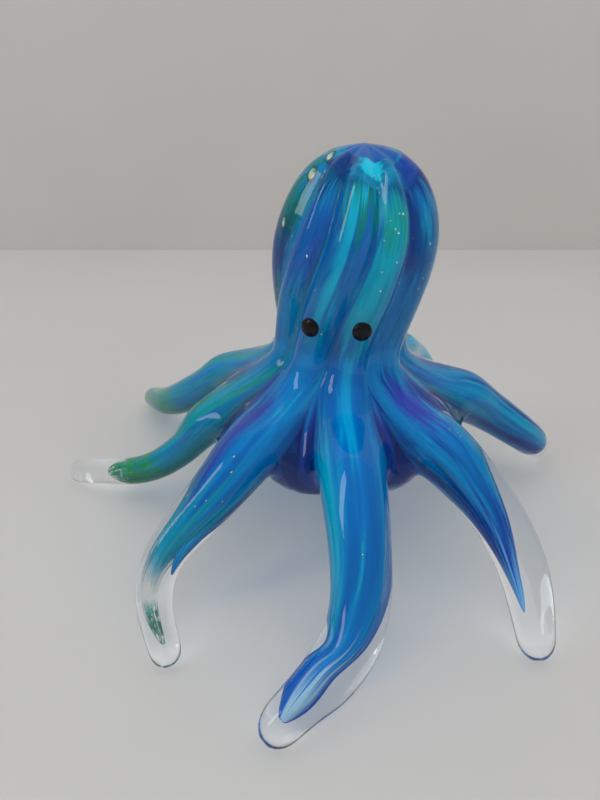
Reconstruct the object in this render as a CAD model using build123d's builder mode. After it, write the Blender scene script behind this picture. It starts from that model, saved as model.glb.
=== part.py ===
from build123d import *
import os
from math import cos, pi, radians, sin

# A solid art-glass octopus that stands on its eight arms. Millimetres, +Z up, the face towards -Y.
# A heading is an angle about the body's axis: 0 to the front, 90 to the +X side.
# The glass has three layers of pieces: a coloured core, a clear casing over it, and two black eyes.
# They are fused in the real thing, so the pieces here meet face to face.

# Body: one gather of glass with a rib for each arm, the front rib midway between the eyes
body_height = 124.0  # top of the head
head_radius = 24.6  # mean radius at the widest part of the head
head_middle = 95.0  # height of that widest part
neck_radius = 20.8  # mean radius at the narrowest part
neck_height = 63.0
skirt_radius = 32.0  # mean radius where the arms leave the body
skirt_height = 36.0
underside_radius = 22.0
underside_height = 21.0  # clear height below the body
crown_radius = 3.0  # small flat that closes the top of the head
head_lean_right = 5.6  # sideways lean of the head's axis above the neck
head_lean_back = 2.0
rib_depth = 1.2  # crest to mean radius
rib_valleys = [-27.0, 10.5, 37.5, 90.0, 145.0, 200.0, 255.0, 307.0]  # headings of the grooves between ribs

# Glass layers
body_casing = 3.2  # clear glass over the body's coloured core, at the skirt
arm_casing = 1.8  # clear glass over an arm's coloured core
colour_point = 0.35  # how far an arm's core thins over its last third

# Eyes: black glass dots pressed into the head
eye_diameter = 6.0
eye_thickness = 1.8
eye_stand_out = 0.6  # how far a dot stands proud of the head
eye_rim = 0.5  # rounding of its edge
eye_height = 77.0
eye_headings = {"eye_left": -30.5, "eye_right": 7.5}

# Arms: all leave the body alike
root_distance = 12.0  # buried in the body
root_height = 42.0
shoulder_distance = 30.0
shoulder_height = 45.0
root_width = 20.0
shoulder_width = 22.0
landing_slope = 0.6  # how steeply a toe comes down to the ground
foot_flat = 0.4  # how much of the underside of a toe is flattened where it rests

# Each arm's route, from the heading of its shoulder over the knee and ankle, each as heading, distance
# and height, to the toe, which rests on the ground, with the arm's width at those three,
# and the share of the route at which its colour ends.
arm_routes = {
    "front": dict(
        heading=2.0, knee=(3.0, 60.0, 32.0), ankle=(-1.5, 82.0, 11.0), toe=(-10.5, 98.0),
        widths=(17.5, 15.5, 11.5), colour_end=0.90,
    ),
    "front_right": dict(
        heading=42.0, knee=(45.0, 56.0, 34.0), ankle=(40.5, 81.0, 13.0), toe=(36.3, 89.5),
        widths=(17.0, 13.5, 10.5), colour_end=0.72,
    ),
    "right": dict(
        heading=92.0, knee=(97.5, 56.0, 33.0), ankle=(100.0, 80.0, 14.0), toe=(105.5, 90.5),
        widths=(15.5, 12.0, 9.5), colour_end=0.90,
    ),
    "back_right": dict(
        heading=142.0, knee=(145.0, 52.0, 39.0), ankle=(145.0, 80.0, 15.0), toe=(145.0, 89.0),
        widths=(15.5, 12.0, 10.0), colour_end=0.86,
    ),
    "back": dict(
        heading=-162.0, knee=(-162.0, 54.0, 39.0), ankle=(-164.0, 81.0, 14.0), toe=(-165.0, 91.0),
        widths=(15.5, 12.5, 10.0), colour_end=0.84,
    ),
    "back_left": dict(
        heading=-118.0, knee=(-117.0, 54.0, 34.0), ankle=(-122.0, 84.0, 15.0), toe=(-128.5, 106.0),
        widths=(15.0, 12.0, 9.5), colour_end=0.92,
    ),
    "left": dict(
        heading=-79.0, knee=(-79.0, 51.0, 31.0), ankle=(-88.0, 76.0, 12.0), toe=(-94.0, 99.0),
        widths=(11.5, 10.0, 10.0), colour_end=0.80,
    ),
    "front_left": dict(
        heading=-41.0, knee=(-40.0, 60.0, 35.0), ankle=(-40.5, 84.0, 12.0), toe=(-34.0, 90.0),
        widths=(15.5, 10.0, 9.0), colour_end=0.76,
    ),
}

rib_ends = [*rib_valleys[1:], rib_valleys[0] + 360]  # the groove on the far side of each rib
body_sections = 16  # sections between the underside and the crown
arm_sections = 10  # sections between the root and the toe of an arm
rib_points = 4  # outline points for each rib

# The body's outline from the underside to the crown: X is the mean radius and Z the height
body_outline = Spline(
    (underside_radius, 0, underside_height),
    (skirt_radius, 0, skirt_height),
    (neck_radius, 0, neck_height),
    (head_radius, 0, head_middle),
    (crown_radius, 0, body_height),
    tangents=((1, 0, 0.2), (0, 0, 1), (0, 0, 1), (0, 0, 1), (-1, 0, 0)),
    tangent_scalars=(0.6, 1.0, 0.7, 1.0, 1.25),
)


def toward(heading, distance, height=0.0):
    """The point at a heading, a distance from the body's axis and a height."""
    return Vector(distance * sin(radians(heading)), -distance * cos(radians(heading)), height)


def axis_at(height):
    """Where the body's axis is at a height: upright up to the neck, then leaning."""
    rise = (height - neck_height) / (body_height - neck_height)
    lean = sin(pi / 2 * min(max(rise, 0.0), 1.0))
    return Vector(head_lean_right * lean, head_lean_back * lean, height)


def ribbed_radius(radius, heading):
    """The distance from the body's axis to the ribbed surface at a heading."""
    turned = rib_valleys[0] + (heading - rib_valleys[0]) % 360
    groove, next_groove = [pair for pair in zip(rib_valleys, rib_ends) if pair[0] <= turned][-1]
    depth = rib_depth * min(1.0, radius / neck_radius)
    return radius - depth * cos(2 * pi * (turned - groove) / (next_groove - groove))


def body_form(casing=0.0):
    """The ribbed body, or with a casing thickness the coloured core inside it."""
    waist = (underside_height + body_height) / 2
    slimmer = 1 - casing / skirt_radius
    shorter = 1 - casing / (body_height - waist)
    headings = [
        groove + (next_groove - groove) * step / rib_points
        for groove, next_groove in zip(rib_valleys, rib_ends)
        for step in range(rib_points)
    ]
    with BuildPart() as form:
        for step in range(body_sections + 1):
            station = body_outline @ (step / body_sections)
            height = waist + (station.Z - waist) * shorter
            radius = station.X * slimmer
            ring = [toward(heading, ribbed_radius(radius, heading)) for heading in headings]
            with BuildSketch(Plane(axis_at(height))):
                with BuildLine():
                    Spline(*ring, periodic=True)
                make_face()
        loft()
    return form.part


def arm_form(arm, casing=0.0, end=1.0, point=1.0):
    """An arm's glass from its root to its toe, or with a casing thickness the coloured core inside it.

    It ends in a half ball at a share of the arm's route, and thins over its last third
    to a share of its full width.
    """
    widths = [root_width, shoulder_width, *arm["widths"]]
    root = toward(arm["heading"], root_distance, root_height)
    shoulder = toward(arm["heading"], shoulder_distance, shoulder_height)
    knee = toward(*arm["knee"])
    ankle = toward(*arm["ankle"])
    toe = toward(*arm["toe"], widths[-1] / 2 - foot_flat)
    stops = [root, shoulder, knee, ankle, toe]
    tread = Vector(toe.X - ankle.X, toe.Y - ankle.Y, 0).normalized() - Vector(0, 0, landing_slope)
    route = Spline(*stops, tangents=(toward(arm["heading"], 1.0, 0.2), tread), tangent_scalars=(1.0, 0.6))
    shares = [route.param_at_point(stop) for stop in stops]
    side = toward(arm["heading"] + 90, 1.0)

    def radius_at(share):
        leg = max(index for index, start in enumerate(shares[:-1]) if start <= share)
        travelled = (share - shares[leg]) / (shares[leg + 1] - shares[leg])
        width = widths[leg] + (widths[leg + 1] - widths[leg]) * travelled
        thinning = (1 - point) * max(0.0, 3 * share / end - 2)
        return (width / 2 - casing) * (1 - thinning)

    with BuildPart() as form:
        for step in range(arm_sections + 1):
            share = end * step / arm_sections
            along = route % share
            across = side - along * side.dot(along)
            with BuildSketch(Plane(route @ share, x_dir=across, z_dir=along)):
                Circle(radius_at(share))
        loft()
        with Locations(Plane(route @ end, z_dir=route % end)):
            Sphere(radius_at(end), arc_size1=0, align=(Align.CENTER, Align.CENTER, Align.NONE))
        split(bisect_by=Plane.XY, keep=Keep.TOP)
    return form.part


def eye_form(heading):
    """A round dot of glass with a rounded rim, pressed into the head at a heading."""
    samples = [body_outline @ (step / 200) for step in range(201)]
    surface = ribbed_radius(min(samples, key=lambda point: abs(point.Z - eye_height)).X, heading)
    outward = toward(heading, 1.0)
    seat = axis_at(eye_height) + outward * (surface + eye_stand_out - eye_thickness)
    with BuildPart() as form:
        with BuildSketch(Plane(seat, z_dir=outward)):
            Circle(eye_diameter / 2)
        extrude(amount=eye_thickness)
        fillet(form.edges().sort_by(Axis(seat, outward))[-1], eye_rim)
    return form.part


# Whole forms first, which overlap where the pieces join
body_glass = body_form()
body_colour = body_form(body_casing)
arm_glass = {name: arm_form(arm) for name, arm in arm_routes.items()}
arm_colour = {
    name: arm_form(arm, arm_casing, arm["colour_end"], colour_point) for name, arm in arm_routes.items()
}
eyes = {name: eye_form(heading) for name, heading in eye_headings.items()}

# Then the pieces, each without what its neighbours keep of the shared space
with BuildPart() as mantle_core:
    add(body_colour)
with BuildPart() as mantle_casing:
    add(body_glass)
    add([body_colour, *arm_colour.values(), *eyes.values()], mode=Mode.SUBTRACT)
figure = {"mantle_core": mantle_core, "mantle_casing": mantle_casing}
for name, eye in eyes.items():
    with BuildPart() as eye_piece:
        add(eye)
    figure[name] = eye_piece
arm_names = list(arm_routes)
for name, before, after in zip(arm_names, arm_names[-1:] + arm_names, arm_names[1:] + arm_names[:1]):
    with BuildPart() as arm_core:
        add(arm_colour[name])
        add([body_colour, arm_colour[before]], mode=Mode.SUBTRACT)
    with BuildPart() as arm_casing_piece:
        add(arm_glass[name])
        covered = [body_glass, arm_colour[name], arm_colour[after], arm_glass[before]]
        add(covered, mode=Mode.SUBTRACT)
    figure[f"arm_{name}_core"] = arm_core
    figure[f"arm_{name}_casing"] = arm_casing_piece

# The origin is under the middle of the figure, on the surface that it stands on
room = Compound([piece.part for piece in figure.values()]).bounding_box()
to_origin = Pos(-room.center().X, -room.center().Y, -room.min.Z)
os.makedirs("parts", exist_ok=True)
for name, piece in figure.items():
    piece.part = piece.part.moved(to_origin)
    piece.part.label = name
    export_step(piece.part, f"parts/{name}.step")
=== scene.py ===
from math import atan2, cos, pi, radians, sin, tau
from random import Random

import bmesh
import bpy
from bpy.props import FloatProperty, FloatVectorProperty, PointerProperty
from mathutils import Matrix, Vector
from mathutils.bvhtree import BVHTree


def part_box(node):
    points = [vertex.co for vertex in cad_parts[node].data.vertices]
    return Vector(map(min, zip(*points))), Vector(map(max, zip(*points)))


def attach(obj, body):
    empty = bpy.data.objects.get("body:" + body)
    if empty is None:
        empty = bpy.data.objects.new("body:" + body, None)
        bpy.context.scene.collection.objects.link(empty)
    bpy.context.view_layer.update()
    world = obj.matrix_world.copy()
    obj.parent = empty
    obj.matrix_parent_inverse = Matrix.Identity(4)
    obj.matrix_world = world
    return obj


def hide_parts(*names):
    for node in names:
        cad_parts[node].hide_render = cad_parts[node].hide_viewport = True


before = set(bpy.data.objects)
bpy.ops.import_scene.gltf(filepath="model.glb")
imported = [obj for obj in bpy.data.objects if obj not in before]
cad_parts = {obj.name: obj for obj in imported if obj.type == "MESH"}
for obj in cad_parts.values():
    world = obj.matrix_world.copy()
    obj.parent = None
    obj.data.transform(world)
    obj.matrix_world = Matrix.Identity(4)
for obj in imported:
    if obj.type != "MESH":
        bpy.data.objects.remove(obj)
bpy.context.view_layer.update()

bl_info = {
    "name": "Glass octopus",
    "version": (1, 0, 0),
    "blender": (4, 5, 0),
    "location": "3D View > Sidebar > Glass",
    "description": "Makes the looks of a solid glass octopus around its CAD frame",
    "category": "Add Mesh",
}

MM = 0.001
LEVEL = Vector((1, 1, 0))  # takes the height out of a vector
UP = Vector((0, 0, 1))

# ---- The figure's layout, felt out on the frame -------------------------------------------------

ARMS = ["front", "front_right", "right", "back_right", "back", "back_left", "left", "front_left"]
BODY_LOW, BODY_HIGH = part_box("mantle_casing")
HUB = Vector(((BODY_LOW.x + BODY_HIGH.x) / 2, (BODY_LOW.y + BODY_HIGH.y) / 2, 0))
SKIRT_RADIUS = (BODY_HIGH.x - BODY_LOW.x) / 2
COLUMNS = 4  # columns of faces in each rib
# Headings of the grooves between the ribs at the top of the head, from the one where the front arm's
# rib begins
GROOVES = [10.5, 37.5, 90.0, 145.0, 200.0, 255.0, 307.0, 333.0]

# How the frame is felt
FEEL_RAYS, FEEL_TURNS = 24, 3  # rays around a section, and how often its middle is felt again
FEEL_LEAST = 0.7  # the share of the rays that have to hit
BODY_REACH, ARM_REACH = 60 * MM, 19 * MM  # wider than the body, and than an arm at any of its sections
FIRST_STATION = 44 * MM  # how far from the middle an arm's first free section is
STATION_STEP = 5.5 * MM
FIRST_FALL = Vector((0, 0, -12 * MM))  # how steeply an arm sets out
FEWEST_STATIONS, MOST_STATIONS = 7, 40
ARM_BEND = 0.4  # how much of an arm's last bend is carried on to the next section
TOE_LOOK = 40 * MM  # how far ahead of a section the toe is looked for
TOE_NEAR = 0.6  # the share of a step, past the radius, within which the toe ends the stations


def toward(heading):
    """The level direction at a heading: 0 to the front, 90 degrees to the +X side."""
    return Vector((sin(radians(heading)), -cos(radians(heading)), 0))


def surface_of(*nodes):
    """The surface of some CAD nodes, to cast rays at."""
    points, faces = [], []
    for node in nodes:
        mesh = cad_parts[node].data
        start = len(points)
        points += [vertex.co for vertex in mesh.vertices]
        faces += [[start + index for index in polygon.vertices] for polygon in mesh.polygons]
    return BVHTree.FromPolygons(points, faces)


def feel_round(surface, centre, up, side, reach):
    """The middle and the mean radius of a section, felt by rays from outside towards its middle."""
    radius = reach / 2
    for _ in range(FEEL_TURNS):
        hits = []
        for step in range(FEEL_RAYS):
            out = up * cos(tau * step / FEEL_RAYS) + side * sin(tau * step / FEEL_RAYS)
            hit = surface.ray_cast(centre + out * reach, -out, reach)[0]
            if hit is not None:
                hits.append(hit)
        if len(hits) < FEEL_RAYS * FEEL_LEAST:
            return None
        centre = sum(hits, Vector()) / len(hits)
        radius = sum((hit - centre).length for hit in hits) / len(hits)
    return centre, radius


class Station:
    """One cross-section: its middle, its radius upwards and to the sides, and how far along it is."""

    def __init__(self, centre, radius, travelled, wide=None):
        self.centre, self.radius, self.travelled = centre, radius, travelled
        self.wide = radius if wide is None else wide
        self.along = self.up = self.side = None

    def aim(self, along):
        """Turns the section to face along the arm."""
        self.along = along.normalized()
        self.up = (UP - self.along * self.along.z).normalized()
        self.side = self.up.cross(self.along)
        return self

    def face(self, along, side):
        """Turns the section to face along a rib, with its width to the side."""
        self.along, self.side = along.normalized(), side.normalized()
        self.up = self.along.cross(self.side).normalized()
        return self

    def rim(self, angle, share):
        """The point at an angle from the top, turning to the side, at a share of the radius."""
        out = self.up * cos(angle) * self.radius + self.side * sin(angle) * self.wide
        return self.centre + out * share


def feel_arm(name):
    """The stations of an arm from beside the body to its toe, and the very end of the toe."""
    surface = surface_of(f"arm_{name}_casing")
    points = [vertex.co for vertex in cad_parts[f"arm_{name}_casing"].data.vertices]
    beside = [p for p in points if abs((p - HUB).xy.length - FIRST_STATION) < 1 * MM]
    low = Vector(min(p[axis] for p in beside) for axis in range(3))
    high = Vector(max(p[axis] for p in beside) for axis in range(3))
    centre = (low + high) / 2
    along = ((centre - HUB) * LEVEL + FIRST_FALL).normalized()
    stations, travelled = [], FIRST_STATION
    while len(stations) < MOST_STATIONS:
        probe = Station(centre, 0, 0).aim(along)
        felt = feel_round(surface, centre, probe.up, probe.side, ARM_REACH)
        if felt is None:
            break
        centre, radius = felt
        if stations:
            step = centre - stations[-1].centre
            travelled += step.length
            along = (step.normalized() * (1 + ARM_BEND) - along * ARM_BEND).normalized()
        stations.append(Station(centre, radius, travelled))
        toe = surface.ray_cast(centre + along * TOE_LOOK, -along, 1.5 * TOE_LOOK)[0]
        near = toe is None or (toe - centre).length < radius + STATION_STEP * TOE_NEAR
        if near and len(stations) >= FEWEST_STATIONS:
            break
        centre = centre + along * STATION_STEP
    for before, station, after in zip([stations[0], *stations], stations, [*stations[1:], stations[-1]]):
        station.aim(after.centre - before.centre)
    return stations, toe


ROUTES = {name: feel_arm(name) for name in ARMS}


def heading_of(point):
    """The heading of a point as seen from the hub, in degrees."""
    return atan2(point.x - HUB.x, HUB.y - point.y) * 180 / pi


def rising(headings):
    """The same headings, each more than the one before."""
    out = [headings[0]]
    for heading in headings[1:]:
        out.append(heading + 360 * ((out[-1] - heading) // 360 + 1))
    return out


ARM_HEADINGS = rising([heading_of(ROUTES[name][0][0].centre) for name in ARMS])
SKIRT_GROOVES = [
    (before + after) / 2
    for before, after in zip([ARM_HEADINGS[-1] - 360, *ARM_HEADINGS], ARM_HEADINGS)
]

# Heights of the body's rows above the arms' openings
HEAD_ROWS = [height * MM for height in (60, 66, 72.5, 80, 88, 96, 103, 109.5, 114.5, 118.3, 121, 122.9)]
UNDERSIDE = 26 * MM  # height of the body's underside
MIDDLE_RADIUS = 12 * MM  # radius of the underside's flat middle
EDGE_RISE, EDGE_SHARE = 0.5 * MM, 0.62  # rise and share of the skirt's radius where the underside ends
# Rows where the arms leave the body: height and reach in the web between two arms, beside it and under
# the middle of an arm, in mm
CROTCH_ROWS = [
    ((27.5, 42.5), (27.5, 41.0), (29.5, 35.0)),
    ((38, 45.0), (39, 41.0), (39, 40.0)),
    ((51, 34.0), (52.5, 32.5), (52.5, 32.5)),
]
CORE_REACH = 29 * MM  # how far the body's colour reaches towards an arm
TWIST_TOP, TWIST_LOW = 110 * MM, 56 * MM  # between these heights the grooves turn to run between the arms
COVER = 1.1 * MM  # the least clear glass over the strands' colour
SKIRT_COVER, HEAD_COVER = 1.3 * COVER, 4 * COVER  # the same over the body's, between the arms and above
HEART_COVER = 1.8 * COVER  # the same over a strand's heart
HEART_SHARE = 0.74  # how much of its strand's width a heart takes
HEART_SHORT = 0.02  # how much sooner it ends, as a share of the arm
BODY_DEPTH = 3.2 * MM  # how much deeper than its casing the body's colour starts
STRAND_DEPTH = 6.5 * MM  # half the depth of the coloured glass in a rib
STRAND_SHARE = 0.4  # the most of the head's radius that it takes
RIB_SHAPE = (-1.0, 0.30, 0.62, 0.30)  # a rib's cross-section from groove to groove, as shares of its depth
RIBS_FADE, CASING_FADES = 9 * MM, 12 * MM  # the head's radius below which ribs and casing get thinner
TOP_CASING = (0.09, 0.123)  # heights between which the colour gets to lie below the casing, not beside it
# On the way from an arm's last section to its toe: the share gone and the share of the radius left
TOE_ROUNDING = ((0.45, 0.93), (0.8, 0.66), (0.97, 0.28))
NECK_PARTS = (0.25, 0.5, 0.75)  # where a strand has sections on its bend from the neck into its arm

# Subdivision draws a form in; these make up for it
ROW_PUSH = 1.008  # in a body row
RIB_PUSH = 1.6  # in the ribs
TOP_PUSH = 1.2 * MM  # at the top of the head
ARM_PUSH = 1.045  # in a ring around an arm
GROOVE_CREASE = 0.45  # how sharp the grooves between the ribs stay


def blend(low, high, part):
    """The value at a part of the way between two others."""
    return low + (high - low) * part


def share_between(value, low, high):
    """0 at low and 1 at high, eased at both ends."""
    share = min(max((value - low) / (high - low), 0.0), 1.0)
    return share * share * (3 - 2 * share)


def groove_headings(height):
    """The headings of the grooves at a height, the first one again at the end."""
    turn = share_between(height, TWIST_TOP, TWIST_LOW)
    grooves = [blend(head, skirt, turn) for head, skirt in zip(GROOVES, SKIRT_GROOVES)]
    return [*grooves, grooves[0] + 360]


def column_headings(height):
    """The heading of every column of the body at a height, and its place from groove to groove."""
    grooves = groove_headings(height)
    return [
        (low + (high - low) * column / COLUMNS, column)
        for low, high in zip(grooves, grooves[1:])
        for column in range(COLUMNS)
    ]


def feel_body():
    """The middle and mean radius of the body at each row of the head."""
    surface = surface_of("mantle_casing")
    centre = Vector(HUB)
    felt = []
    for height in HEAD_ROWS:
        centre = Vector((centre.x, centre.y, height))
        centre, radius = feel_round(surface, centre, Vector((0, 1, 0)), Vector((1, 0, 0)), BODY_REACH)
        felt.append((centre, radius))
    return felt


HEAD_SECTIONS = feel_body()


# ---- Modelling helpers ---------------------------------------------------------------------------

MERGE_DISTANCE = 1e-6
TIE_BREAK = Vector((1, 2, 3)) * 1e-6
TOUCHING = 20e-6  # a vertex this near the surface lies on it
POLE_NEAR = 0.01  # the share of a patch's width within which a vertex counts as its middle
RAY_START = 20 * MM  # how far outside the casing rays at it start
STRAND_SIDES = 12  # vertices around a strand
STRAND_RINGS = (8, 20)  # rings along a strand: the fewest, and how many more for an arm's length
SKIRT_ROWS = 4  # rows of the body that lie underneath and between the arms
OPENINGS = slice(2, 5)  # rows of the body around the arms' openings


def new_ring(bm, count):
    """A closed ring of vertices, in order."""
    return list(bmesh.ops.create_circle(bm, cap_ends=False, radius=1 * MM, segments=count)["verts"])


def lift_ring(bm, ring):
    """Extrudes a ring and gives the new one, in the same order."""
    edges = [bm.edges.get(pair) for pair in zip(ring, ring[1:] + ring[:1])]
    made = bmesh.ops.extrude_edge_only(bm, edges=edges)["geom"]
    fresh = {item for item in made if isinstance(item, bmesh.types.BMVert)}
    return [
        next(edge.other_vert(vertex) for edge in vertex.link_edges if edge.other_vert(vertex) in fresh)
        for vertex in ring
    ]


def place_ring(ring, points):
    """Moves a ring's vertices to points, in order."""
    for vertex, point in zip(ring, points):
        vertex.co = point


def close_ring(bm, ring, height=0.0):
    """Closes a ring with a fan to a point over its middle."""
    middle = sum((vertex.co for vertex in ring), Vector()) / len(ring) + Vector((0, 0, height))
    tip = lift_ring(bm, ring)
    bmesh.ops.pointmerge(bm, verts=tip, merge_co=middle)


def put_in_scene(name, data):
    """Makes an object of a mesh, a lamp or a camera."""
    item = bpy.data.objects.new(name, data)
    bpy.context.scene.collection.objects.link(item)
    return item


def mesh_of(name, bm, material):
    """Makes a mesh of a finished form and frees the form."""
    mesh = bpy.data.meshes.new(name)
    bm.to_mesh(mesh)
    bm.free()
    mesh.materials.append(material)
    return mesh


def finish_piece(name, bm, material, levels=2):
    """Makes an object of a form, smooth and turned outwards, that rides on the root body."""
    bmesh.ops.remove_doubles(bm, verts=bm.verts, dist=MERGE_DISTANCE)
    bmesh.ops.recalc_face_normals(bm, faces=bm.faces)
    mesh = mesh_of(name, bm, material)
    mesh.polygons.foreach_set("use_smooth", [True] * len(mesh.polygons))
    piece = put_in_scene(name, mesh)
    if levels:
        rounding = piece.modifiers.new("Rounding", "SUBSURF")
        rounding.levels = rounding.render_levels = levels
    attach(piece, "root")
    return piece


def body_points(height, centre, radius, depth, inset):
    """A row of the ribbed body, with the colour inset from the casing's surface."""
    points = []
    for heading, column in column_headings(height):
        reach = radius * ROW_PUSH + depth * RIB_SHAPE[column] * RIB_PUSH - inset
        points.append(Vector((centre.x, centre.y, height)) + toward(heading) * reach)
    return points


def body_rows(bm, depth, inset=0.0):
    """The rows of the body from its underside to its top."""
    skin = min(inset, 2 * COVER)  # the colour's depth between the arms and underneath
    low = UNDERSIDE + skin
    limit = CORE_REACH if inset else BODY_REACH
    rows = [new_ring(bm, COLUMNS * len(GROOVES))]
    place_ring(rows[-1], body_points(low, HUB, MIDDLE_RADIUS, 0, 0))
    rows.append(lift_ring(bm, rows[-1]))
    place_ring(rows[-1], body_points(low + EDGE_RISE, HUB, SKIRT_RADIUS * EDGE_SHARE, 0, skin))
    for (web, web_reach), *beside in CROTCH_ROWS:
        rows.append(lift_ring(bm, rows[-1]))
        rise = skin * 0.5
        rounds = [body_points(web * MM + rise, HUB, web_reach * MM, 0, skin)]
        for height, reach in beside:
            rounds.append(body_points(height * MM + rise, HUB, min(reach * MM, limit), 0, inset))
        from_groove = [min(i % COLUMNS, -i % COLUMNS) for i in range(len(rows[-1]))]
        place_ring(rows[-1], [rounds[steps][i] for i, steps in enumerate(from_groove)])
    for centre, radius in HEAD_SECTIONS:
        rows.append(lift_ring(bm, rows[-1]))
        narrow = min(1.0, radius / RIBS_FADE)
        height = centre.z - inset * share_between(centre.z, *TOP_CASING)
        place_ring(rows[-1], body_points(height, centre, radius, depth * narrow, inset * narrow))
    crease = bm.edges.layers.float.new("crease_edge")
    ribbed = rows[SKIRT_ROWS:-1]
    for low, high in zip(ribbed, ribbed[1:]):
        for start, end in zip(low[::COLUMNS], high[::COLUMNS]):
            bm.edges.get((start, end))[crease] = GROOVE_CREASE
    close_ring(bm, rows[0])
    close_ring(bm, rows[-1], BODY_HIGH.z + TOP_PUSH - HEAD_ROWS[-1])
    return rows


def clear_casing(depth):
    """The clear glass in one: the ribbed body with each arm drawn out of its rib."""
    bm = bmesh.new()
    openings = body_rows(bm, depth)[OPENINGS]
    for index, name in enumerate(ARMS):
        draw_arm(bm, openings, index * COLUMNS, *ROUTES[name])
    return bm


def draw_arm(bm, openings, first, stations, toe):
    """Draws an arm's clear glass out of its opening in the body, section by section."""
    count, half = len(openings[0]), COLUMNS // 2
    grid = [[row[(first + step) % count] for step in range(COLUMNS + 1)] for row in openings]
    for station, shrink in arm_sections(stations, toe):
        grid = draw_grid(bm, grid)
        rim = grid_rim(grid)
        for step, vertex in enumerate(rim):
            vertex.co = station.rim(tau * (step - half) / len(rim), shrink * ARM_PUSH)
        for step, vertex in enumerate(grid[1][1:-1], start=1 - half):
            vertex.co = station.rim(pi / 2, shrink * step / half)


def grid_rim(grid):
    """The outline of an opening's grid: along its top row, down, back along its bottom row and up."""
    low, middle, high = grid
    return [*high, middle[-1], *reversed(low), middle[0]]


def draw_grid(bm, grid):
    """Extrudes the faces of a grid of vertices, and gives the new grid in the same order."""
    faces = [
        bm.faces.get((low[i], low[i + 1], high[i + 1], high[i]))
        for low, high in zip(grid, grid[1:])
        for i in range(len(low) - 1)
    ]
    made = bmesh.ops.extrude_face_region(bm, geom=faces)["geom"]
    fresh = {tuple(item.co): item for item in made if isinstance(item, bmesh.types.BMVert)}
    new = [[fresh[tuple(vertex.co)] for vertex in row] for row in grid]
    bmesh.ops.delete(bm, geom=[face for face in faces if face.is_valid], context="FACES")
    return new


def arm_sections(stations, toe):
    """The sections of an arm and of its rounded end, each with the share of its radius that it keeps."""
    sections = [(station, 1.0) for station in stations]
    last = stations[-1]
    left = toe - last.centre
    for reach, shrink in TOE_ROUNDING:
        end = Station(last.centre + left * reach, last.radius, last.travelled + left.length * reach)
        sections.append((end.aim(last.along + left.normalized() * reach), shrink))
    return sections


def bend_between(start, start_way, end, end_way, part):
    """A point on the smooth bend that leaves start one way and comes into end another way."""
    a, b = part * part, part * part * part
    return (
        start * (2 * b - 3 * a + 1) + start_way * (b - 2 * a + part)
        + end * (3 * a - 2 * b) + end_way * (b - a)
    )


def strand_of(name, casing):
    """The sections of the glass that runs from the top of the head down a rib and out along its arm.

    Each has its place along the strand: -1 at the top of the head, 0 at the neck and 1 at the toe."""
    stations, toe = ROUTES[name]
    rib = ARMS.index(name)
    crests = []  # where the crest is, its place, half its width, its depth, how far in it lies, its side
    for centre, radius in reversed(HEAD_SECTIONS[1:]):
        low, high = groove_headings(centre.z)[rib:rib + 2]
        middle = (low + high) / 2
        depth = min(STRAND_DEPTH, radius * STRAND_SHARE)
        place = (HEAD_ROWS[0] - centre.z) / (BODY_HIGH.z - HEAD_ROWS[0])
        wide = radius * sin(radians(high - low) / 2)
        inset = casing * min(1.0, radius / CASING_FADES)
        crests.append((centre + toward(middle) * radius, place, wide, depth, inset, toward(middle + 90)))
    length = stations[-1].travelled + (toe - stations[-1].centre).length
    arm = [
        (s.centre + s.up * s.radius, s.travelled / length, s.radius, s.radius, 0.0, s.side)
        for s in stations
    ]
    neck, root = crests[-1], arm[0]
    reach = (root[0] - neck[0]).length
    down = (neck[0] - crests[-2][0]).normalized() * reach
    out = stations[0].along * reach
    for part in NECK_PARTS:
        values = [blend(a, b, part) for a, b in zip(neck[1:], root[1:])]
        crests.append((bend_between(neck[0], down, root[0], out, part), *values))
    crests += arm
    sections = []
    for before, crest, after in zip([crests[0], *crests], crests, [*crests[1:], crests[-1]]):
        point, place, wide, depth, inset, side = crest
        section = Station(point, depth, place, wide).face(after[0] - before[0], side)
        section.centre = point - section.up * (depth + inset)
        sections.append((section, place))
    end = stations[-1]
    sections.append((Station(toe, end.radius, 1.0).aim(end.along), 1.0))
    return sections


def stop_at(stops, share):
    """The values between two stops of a list of (share, value, value...) at a share."""
    for low, high in zip(stops, stops[1:]):
        if share <= high[0]:
            part = max(0.0, (share - low[0]) / (high[0] - low[0]))
            return [blend(a, b, part) for a, b in zip(low[1:], high[1:])]
    return stops[-1][1:]


def between_sections(sections, share):
    """A section of a strand at any place along it."""
    for (low, start), (high, end) in zip(sections, sections[1:]):
        if share <= end:
            part = max(0.0, (share - start) / (end - start))
            radius, wide = blend(low.radius, high.radius, part), blend(low.wide, high.wide, part)
            mixed = Station(low.centre.lerp(high.centre, part), radius, share, wide)
            return mixed.face(low.along.lerp(high.along, part), low.side.lerp(high.side, part))
    return sections[-1][0]


def casing_surface():
    """The finished surface of the clear casing."""
    return BVHTree.FromObject(bpy.data.objects["clear_casing"], bpy.context.evaluated_depsgraph_get())


def tuck_under(vertices, surface, cover):
    """Moves vertices in where they would have less than a cover of clear glass over them.

    A vertex halfway between two places of the surface goes by the same one every time."""
    for vertex in vertices:
        spot, normal = surface.find_nearest(vertex.co + TIE_BREAK)[:2]
        way = spot - vertex.co
        inside = 1 if way.dot(normal) > 0 else -1
        if way.length * inside < cover:
            out = way.normalized() * inside if way.length > TOUCHING else normal
            vertex.co = spot - out * cover


def head_section(height):
    """The middle and the radius of the head at a height."""
    above = (pair for pair in zip(HEAD_SECTIONS, HEAD_SECTIONS[1:]) if pair[1][0].z >= height)
    (low, low_radius), (high, high_radius) = next(above, HEAD_SECTIONS[-2:])
    part = (height - low.z) / (high.z - low.z)
    return low.lerp(high, part), blend(low_radius, high_radius, part)


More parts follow.
